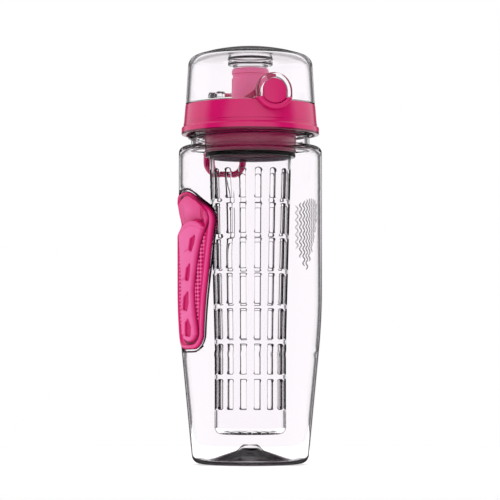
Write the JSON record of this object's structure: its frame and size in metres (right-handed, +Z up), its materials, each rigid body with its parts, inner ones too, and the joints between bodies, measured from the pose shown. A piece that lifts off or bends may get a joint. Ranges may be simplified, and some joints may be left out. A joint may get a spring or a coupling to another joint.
{
  "type": "fruit infuser water bottle",
  "caption": "Clear water bottle with a rubber hand grip, a screw collar with spout, push button and flip-up clear dome, a swinging carry loop and a slotted fruit basket inside.",
  "frame": {"origin": "on the bottle's upright axis, in the plane of the ring it stands on", "axes": "+Z up along the bottle's axis, -Y towards the push button, +Y towards the lid hinge and the carry loop; the hand grip is on the -X side"},
  "size_m": [0.0917, 0.0969, 0.262],
  "materials": {
    "clear_body": "clear, moulded smooth",
    "clear_lid": "clear, polished",
    "clear_basket": "clear, moulded smooth",
    "pink_grip": "satin rubber",
    "pink_plastic": "satin gloss",
    "pink_spout": "soft satin",
    "seal_silicone": "milky soft",
    "spring_steel": "drawn wire",
    "dark_steel": "dark wire"
  },
  "bodies": {
    "bottle": {"bottle_body": "clear_body", "grip_pad": "pink_grip"},
    "neck_seal": {"neck_gasket": "seal_silicone"},
    "basket_seal": {"infuser_seal": "seal_silicone"},
    "lid": {"collar": "pink_plastic", "inner_lid": "pink_plastic", "spout": "pink_spout", "hinge_pin": "spring_steel", "hinge_springs": "dark_steel", "latch_spring": "spring_steel", "loop_pins": "spring_steel"},
    "dome": {"flip_lid": "clear_lid", "spout_seal": "seal_silicone"},
    "button": {"latch_button": "pink_plastic"},
    "loop": {"carry_loop": "pink_plastic"},
    "infuser": {"infuser_basket": "clear_basket"}
  },
  "joints": [
    {"name": "lid_lift", "type": "slide", "parent": "bottle", "child": "neck_seal", "axis": [0, 0, 1], "range_m": [0, 0.21]},
    {"name": "lid_rise", "type": "slide", "parent": "neck_seal", "child": "basket_seal", "axis": [0, 0, 1], "range_m": [0, 0.0064]},
    {"name": "lid_unscrew", "type": "hinge", "parent": "basket_seal", "child": "lid", "pos_m": [0, 0, 0.217], "axis": [0, 0, 1], "range_deg": [0, 540]},
    {"name": "lid_flip", "type": "hinge", "parent": "lid", "child": "dome", "pos_m": [0, 0.0445, 0.236], "axis": [-1, 0, 0], "range_deg": [0, 115]},
    {"name": "button_press", "type": "slide", "parent": "lid", "child": "button", "axis": [0, 1, 0], "range_m": [0, 0.002], "stiffness_N_per_m": 600, "springref_m": -0.001, "deforming": ["latch_spring"]},
    {"name": "loop_swing", "type": "hinge", "parent": "lid", "child": "loop", "pos_m": [0, 0.048, 0.217], "axis": [1, 0, 0], "range_deg": [0, 90]},
    {"name": "infuser_twist", "type": "hinge", "parent": "lid", "child": "infuser", "pos_m": [0, 0, 0.2], "axis": [0, 0, 1], "range_deg": [0, 90]}
  ],
  "couplings": [
    {"joint": "lid_rise", "follows": "lid_unscrew", "m_per_rad": 0.00066845}
  ]
}
